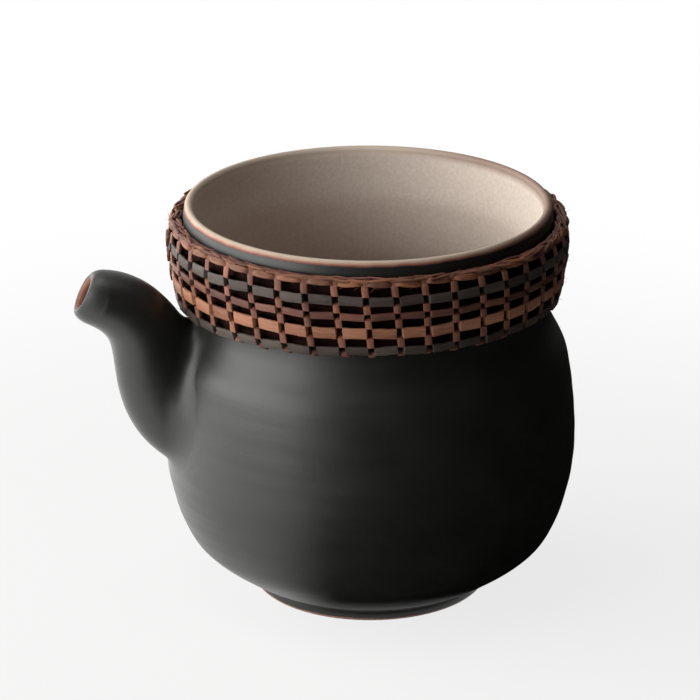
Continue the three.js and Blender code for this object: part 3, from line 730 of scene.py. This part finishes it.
stakes = laid("laid_stakes", [stake("even_stake", 0), stake("odd_stake", 1)], STAKE_MIDDLE, count=STAKES,
              first_angle=FIRST_STAKE, seed=5, turn=STAKE_TURN, shift=STAKE_SHIFT,
              roughening=SPLINT_ROUGHENING, slant=GUARD_SLANT, finish=stake_bark)
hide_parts(*[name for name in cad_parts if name.startswith("stake")])
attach(stakes, "root")

# Where the two ends of a hoop lap, the outer one isn't tucked in: it stands a little off the sleeve. The laps
# lie at the side of the spout, under one another. Each is a short end of bent bark.
LAP_RISE, LAP_WIDTH, LAP_DIVES = 0.3, 0.85, (0.2, -0.1)
# Where each lap stands, in degrees round the pot, and how far it stands off its hoop.
LAPS = {"hoop_upper": (168, 0.55), "hoop_middle": (167, 0.6), "hoop_lower": (166, 0.4)}
for name, (turn, off) in LAPS.items():
    radius, height, width, lean = HOOPS[name]
    end = brick("lapped_end", (radius + off, height + LAP_RISE, width * LAP_WIDTH, lean), LAP_DIVES)
    piece = laid(f"lap_{name}_{turn}", [end], (radius, height), count=1, first_angle=math.radians(turn),
                 seed=70, roughening=0.4 * MM, slant=GUARD_SLANT, finish=crown_bark)
    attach(piece, "root")

# Behind the bulging hoops a second round of splints lies against the stakes and closes the weave. It lies in
# the weave's own shadow, and its depth notes are set deeper so that the bark paints it with shade as dark as
# the dives. It stands in for the two linings.
LINING_HOOPS = [(44.9, GUARD_TOP - 3.2, 3.7, 0), (44.75, GUARD_TOP - 6.7, 3.7, 0),
                (44.55, GUARD_TOP - 10.3, 3.9, -4), (44.75, GUARD_TOP - 14.0, 3.9, -7),
                (44.15, GUARD_TOP - 17.2, 3.1, -12)]
LINING_NODES = {1: "lining_top", 5: "lining_bottom"}
LINING_DIVES = (0.12, -0.1)
# Painted shade: how much deeper the lining's depth notes are set than where it lies.
LINING_PAINTED_SHADE = 1.4
for row, hoop in enumerate(LINING_HOOPS, 1):
    lengths = [brick("even_length", hoop, LINING_DIVES, LINING_PAINTED_SHADE),
               brick("odd_length", hoop, LINING_DIVES[::-1], LINING_PAINTED_SHADE)]
    piece = laid(f"lining_hoop_{row}", lengths, hoop, count=STAKES, first_angle=FIRST_HOOP_LENGTH,
                 seed=30 + row, roughening=0.2 * MM, slant=GUARD_SLANT, finish=red_bark)
    if row in LINING_NODES:
        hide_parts(LINING_NODES[row])
    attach(piece, "root")

# The crown: plates of bark folded over the guard's edge, and thin slivers laid on them, one upon the other,
# so that no sharp stake end meets the hand. The slivers lie flat, a little crossed, each row with its own
# length and height.
CROWN_ROWS = [
    # The radius and height of a sliver's middle, its width and how far it leans back, how many there are,
    # and how far the ends of the two kinds dive.
    ((45.75, GUARD_TOP - 0.55, 2.5, 72), 42, (0.9, 0.5), (0.5, 0.9)),
    ((45.3, GUARD_TOP - 0.15, 0.6, 84), 53, (0.2, 0.1), (-0.05, 0.25)),
    ((45.9, GUARD_TOP + 0.08, 0.7, 80), 47, (0.2, 0.1), (-0.05, 0.25)),
    ((46.6, GUARD_TOP - 0.02, 0.7, 62), 59, (0.2, 0.1), (-0.05, 0.25)),
]
CROWN_STAGGER = 0.4
# The folded plates' depth notes are set a little deeper, so the bark paints them with a little shade.
PLATE_PAINTED_SHADE = 0.1
SLIVER_TURN, SLIVER_STRETCH = Vector((0.07, 0.1, 0.3)), Vector((0.0, 0.3, 0.0))
SLIVER_SHIFT = Vector((0.3, 0.3, 0.08)) * MM
for row, (hoop, count, even_dives, odd_dives) in enumerate(CROWN_ROWS):
    loose, painted_shade_drop = (0.0, PLATE_PAINTED_SHADE) if row == 0 else (1.0, 0.0)
    slivers = [brick("even_sliver", hoop, even_dives, painted_shade_drop), brick("odd_sliver", hoop, odd_dives, painted_shade_drop)]
    piece = laid(f"crown_slivers_{row + 1}", slivers, hoop, count=count,
                 first_angle=FIRST_HOOP_LENGTH + CROWN_STAGGER * row, seed=51 + row, turn=SLIVER_TURN * loose,
                 shift=SLIVER_SHIFT * loose, stretch=SLIVER_STRETCH * loose, roughening=0.35 * MM,
                 finish=crown_bark if row % 2 else red_bark)
    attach(piece, "root")

# Loose fibres: splitting leaves hairs and slivers along the bark, most of them on the crown and the hem. Each
# is a curved three-sided thread, rooted in the bark at its thick end.
FIBRE_LENGTH, FIBRE_RADIUS, FIBRE_TAPER = 1.7, 0.065, 0.75
FIBRE_RISE, FIBRE_CURL, FIBRE_SUNK = 0.42, 1.6, 0.06
FIBRE_SIDES = (0, 2.094, 4.189)
FIBRE_SMALLEST, FIBRE_LEAN = 0.35, ((-0.3, -0.35, -3.14), (0.3, 0.1, 3.14))
fibre_rings = []
for share in np.linspace(0, 1, 5):
    thick = FIBRE_RADIUS * (1 - FIBRE_TAPER * share)
    fibre_rings.append([(FIBRE_LENGTH * share, thick * math.cos(turn),
                         FIBRE_RISE * share ** FIBRE_CURL - FIBRE_SUNK + thick * math.sin(turn))
                        for turn in FIBRE_SIDES])
fibre = splint("loose_fibre", fibre_rings, [(0, 0, 0)] * (len(fibre_rings) * len(FIBRE_SIDES)))
frayed, given = rule_tree("frayed", {"bark": "Object", "fibre": "Object", "density": "Float", "seed": "Int",
                                     "smallest": "Float", "largest": "Float", "finish": "Material"})
bark_faces = node(frayed, "GeometryNodeObjectInfo", {"Object": given["bark"]}).outputs["Geometry"]
hair = node(frayed, "GeometryNodeObjectInfo", {"Object": given["fibre"]}).outputs["Geometry"]
roots = node(frayed, "GeometryNodeDistributePointsOnFaces", {"Mesh": bark_faces, "Density": given["density"],
                                                            "Seed": given["seed"]})
size = node(frayed, "FunctionNodeRandomValue", {2: given["smallest"], 3: given["largest"],
                                                8: given["seed"]}).outputs[1]
hairs = node(frayed, "GeometryNodeInstanceOnPoints", {"Points": roots.outputs["Points"], "Instance": hair,
                                                     "Rotation": roots.outputs["Rotation"], "Scale": size})
swing = node(frayed, "FunctionNodeRandomValue", {0: FIBRE_LEAN[0], 1: FIBRE_LEAN[1], 8: given["seed"]},
             data_type="FLOAT_VECTOR").outputs[0]
hairs = node(frayed, "GeometryNodeRotateInstances", {"Instances": hairs.outputs[0], "Rotation": swing,
                                                    "Local Space": True}).outputs[0]
hairs = node(frayed, "GeometryNodeRealizeInstances", {"Geometry": hairs}).outputs[0]
hairs = node(frayed, "GeometryNodeSetMaterial", {"Geometry": hairs, "Material": given["finish"]}).outputs[0]
node(frayed, "NodeGroupOutput", {"Geometry": hairs})
# Which bark frays, how many fibres stand on a square metre of it, the largest one's size, and its finish.
for name, density, largest, finish, slot in (
        ("laid_hoop_top", 260000.0, 1.2, crown_bark, "tan_splint"),
        ("crown_slivers_2", 300000.0, 1.2, crown_bark, "tan_splint"),
        ("laid_hoop_lower", 45000.0, 0.9, tan_bark, "tan_splint"),
        ("laid_hoop_bottom", 70000.0, 1.0, dark_bark, "dark_splint"),
        ("laid_stakes", 20000.0, 1.0, stake_bark, "stake_splint")):
    hairs = grown(name.replace("laid", "frayed"), frayed, bark=bpy.data.objects[name], fibre=fibre,
                  density=density, seed=3, smallest=FIBRE_SMALLEST, largest=largest, finish=finish)
    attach(hairs, "root")
bpy.data.objects.remove(fibre)

# The floor: a plain pale sheet. Close to the pot it takes the shadow, and further out it runs into white.
FLOOR_REACH = 3
floor_mesh = bpy.data.meshes.new("floor_sheet")
floor_mesh.from_pydata([(-FLOOR_REACH, -FLOOR_REACH, 0), (FLOOR_REACH, -FLOOR_REACH, 0),
                        (FLOOR_REACH, FLOOR_REACH, 0), (-FLOOR_REACH, FLOOR_REACH, 0)], [], [(0, 1, 2, 3)])
floor = shown("floor", floor_mesh)


def background_rays(tree):
    """One for the rays that show a plain background: the camera's own, and those of gloss and of glass."""
    ray = node(tree, "ShaderNodeLightPath").outputs
    seen = node(tree, "ShaderNodeMath", {0: ray["Is Camera Ray"], 1: ray["Is Glossy Ray"]},
                operation="MAXIMUM").outputs[0]
    return node(tree, "ShaderNodeMath", {0: seen, 1: ray["Is Transmission Ray"]},
                operation="MAXIMUM").outputs[0]


# Matt pale paper. To the camera it is plain white from 0.3 m on, and near the pot a fifth of it takes shade.
pale, tree = material("pale_paper")
place = node(tree, "ShaderNodeTexCoord").outputs["Object"]
far = node(tree, "ShaderNodeVectorMath", {0: place}, operation="LENGTH").outputs["Value"]
away_share = node(tree, "ShaderNodeMapRange", {"Value": far, "From Min": 0.1, "From Max": 0.3},
                  interpolation_type="SMOOTHSTEP").outputs[0]
seen = background_rays(tree)
glow = node(tree, "ShaderNodeMapRange", {"Value": away_share, "To Min": 0.8}).outputs[0]
share = node(tree, "ShaderNodeMath", {0: seen, 1: glow}, operation="MULTIPLY").outputs[0]
paper = node(tree, "ShaderNodeBsdfDiffuse", {"Color": linear("#c9c9c7")}).outputs[0]
white = node(tree, "ShaderNodeEmission", {"Color": (1, 1, 1, 1), "Strength": 1.0}).outputs[0]
both = node(tree, "ShaderNodeMixShader", {0: share, 1: paper, 2: white}).outputs[0]
node(tree, "ShaderNodeOutputMaterial", {"Surface": both})
floor.data.materials.append(pale)

# The light: a large soft box at the left, a smaller one behind it and one above, and a weak sky.
# The lamps and the camera turn to the pot's axis at this height.
MIDDLE_HEIGHT = 59.39
middle = AXIS + Vector((0, 0, MIDDLE_HEIGHT * MM))


def soft_box(name, place, width, height, radiance):
    """An area lamp that faces the pot. Its power follows from how bright its face looks."""
    lamp = bpy.data.lights.new(name, "AREA")
    lamp.shape, lamp.size, lamp.size_y = "RECTANGLE", width, height
    lamp.energy = radiance * math.pi * width * height
    body = bpy.data.objects.new(name, lamp)
    body.location = middle + Vector(place)
    body.rotation_euler = (-Vector(place)).to_track_quat("-Z", "Y").to_euler()
    body.visible_camera = False
    bpy.context.scene.collection.objects.link(body)


soft_box("window_box", place=(-1.056, 0.09, 0.33), width=2.0, height=0.95, radiance=4.9)
soft_box("back_box", place=(-0.62, 1.0, 0.3), width=0.8, height=0.8, radiance=3.0)
soft_box("top_box", place=(-0.3, 0.0, 1.2), width=0.7, height=0.7, radiance=2.8)

# Glowing sheets, like the black and white cards used when dark glaze is photographed: dark ones stand round
# the front and right of the set and lie before it, and bright ones lie at the left and stand behind, so that
# the pot turns from pale to dark. Only gloss sees them, so they are painted reflections and light nothing.
# Close under the pot the lying sheet glows less, down to half: painted shade in the reflections. Lengths are
# in metres, and turns are in degrees from the front towards the right.
CARD_REACH, CARD_HEIGHT, CARD_RISE = 0.8, 0.0004, 62
CARDS_FROM, CARDS_TO, STANDING_FROM = -200, 160, -56
LEFT_FROM, LEFT_FULL, LEFT_FADES, LEFT_TO = -200, -170, -62, -28
BACK_FROM, BACK_FULL = 120, 160
BLACK, LYING_GLOW, STANDING_GLOW, UNDER_POT_SHADE_SHARE = 0.012, 2.1, 0.9, 0.5
card_turns = np.radians(np.linspace(CARDS_FROM, CARDS_TO, 121))
card_floor = [(0.03, CARD_HEIGHT), (0.12, CARD_HEIGHT), (CARD_REACH, CARD_HEIGHT)]
card_dome = [(CARD_REACH * math.cos(rise), CARD_REACH * math.sin(rise))
             for rise in np.linspace(0.02, math.radians(CARD_RISE), 13)]
card_sweep = card_floor + card_dome
columns = len(card_turns)
card_faces = [(r * columns + c, r * columns + c + 1, (r + 1) * columns + c + 1, (r + 1) * columns + c)
              for r in range(len(card_sweep) - 1) for c in range(columns - 1)
              if r < len(card_floor) - 1 or card_turns[c] > math.radians(STANDING_FROM)]
card_mesh = bpy.data.meshes.new("cards")
card_mesh.from_pydata([(AXIS.x + reach * math.sin(turn), -reach * math.cos(turn), height)
                       for reach, height in card_sweep for turn in card_turns], [], card_faces)
card = shown("cards", card_mesh)
at_left = smooth_step(card_turns, math.radians(LEFT_FROM), math.radians(LEFT_FULL)) * (
    1 - smooth_step(card_turns, math.radians(LEFT_FADES), math.radians(LEFT_TO)))
at_back = smooth_step(card_turns, math.radians(BACK_FROM), math.radians(BACK_FULL))
lying = BLACK + LYING_GLOW * at_left
standing = BLACK + STANDING_GLOW * at_back + STANDING_GLOW * at_left
card_mesh.attributes.new("shade", "FLOAT", "POINT").data.foreach_set(
    "value", np.concatenate([lying * UNDER_POT_SHADE_SHARE, lying, lying] + [standing] * len(card_dome)))
reflection_glow, tree = material("card_board")
shade = node(tree, "ShaderNodeAttribute", attribute_name="shade").outputs["Fac"]
card_glow = node(tree, "ShaderNodeEmission", {"Color": (1, 1, 1, 1), "Strength": shade}).outputs[0]
node(tree, "ShaderNodeOutputMaterial", {"Surface": card_glow})
card_mesh.materials.append(reflection_glow)
card.visible_camera = card.visible_diffuse = card.visible_shadow = card.visible_transmission = False
world = bpy.data.worlds.new("studio")
world.use_nodes = True
world.node_tree.nodes.clear()
strength = node(world.node_tree, "ShaderNodeMapRange", {"Value": background_rays(world.node_tree),
                                                        "To Min": 0.05, "To Max": 1.0}).outputs[0]
sky = node(world.node_tree, "ShaderNodeBackground", {"Color": (1, 1, 1, 1), "Strength": strength}).outputs[0]
node(world.node_tree, "ShaderNodeOutputWorld", {"Surface": sky})
bpy.context.scene.world = world

# The camera stands a metre away at the photograph's angle, with a long lens. It looks a little to the left of
# the pot's axis, towards the spout. Its distances are in metres.
CAMERA_DISTANCE, CAMERA_ASIDE = 1.0, 0.00491
CAMERA_LENS, CAMERA_SENSOR = 211.6, 36
azimuth, elevation = math.radians(-15), math.radians(20.74)
right = Vector((math.cos(azimuth), math.sin(azimuth), 0))
back = Vector((math.sin(azimuth) * math.cos(elevation), -math.cos(azimuth) * math.cos(elevation),
               math.sin(elevation)))
target = middle - right * CAMERA_ASIDE
eye = bpy.data.objects.new("camera", bpy.data.cameras.new("camera"))
eye.data.lens = CAMERA_LENS
eye.data.sensor_width = CAMERA_SENSOR
eye.location = target + back * CAMERA_DISTANCE
eye.rotation_euler = back.to_track_quat("Z", "Y").to_euler()
bpy.context.scene.collection.objects.link(eye)
bpy.context.scene.camera = eye
bpy.context.scene.view_settings.view_transform = "Standard"
